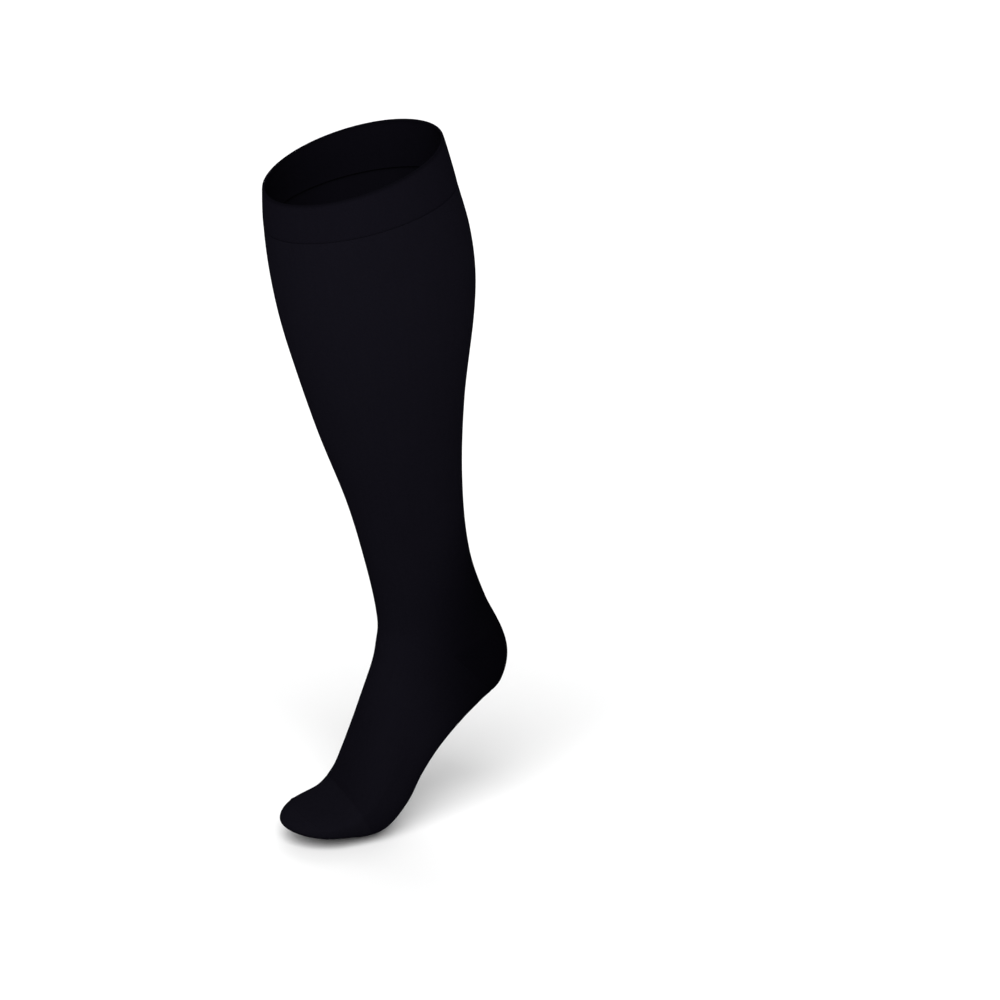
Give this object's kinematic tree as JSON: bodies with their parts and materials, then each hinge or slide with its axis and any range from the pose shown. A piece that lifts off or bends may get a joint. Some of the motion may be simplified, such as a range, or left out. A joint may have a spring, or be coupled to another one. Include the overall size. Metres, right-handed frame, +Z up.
{
  "type": "knee-high compression stocking",
  "caption": "Black knee-high compression stocking with a closed toe, a knitted heel pocket and a wide top band, filled out with the heel raised and the toes bent.",
  "frame": {"origin": "centre of the top opening, in the plane of the turned edge, where the leg holds the band", "axes": "+Z up the leg, the toes point along -Y, +X is the side that faces the other leg"},
  "size_m": [0.1231, 0.178, 0.5061],
  "materials": {
    "band_knit": "matte",
    "tube_knit": "matte",
    "heel_knit": "matte",
    "toe_knit": "matte"
  },
  "bodies": {
    "root": {"top_band": "band_knit", "leg": "tube_knit", "heel": "heel_knit", "foot": "tube_knit", "toe": "toe_knit"}
  },
  "joints": []
}
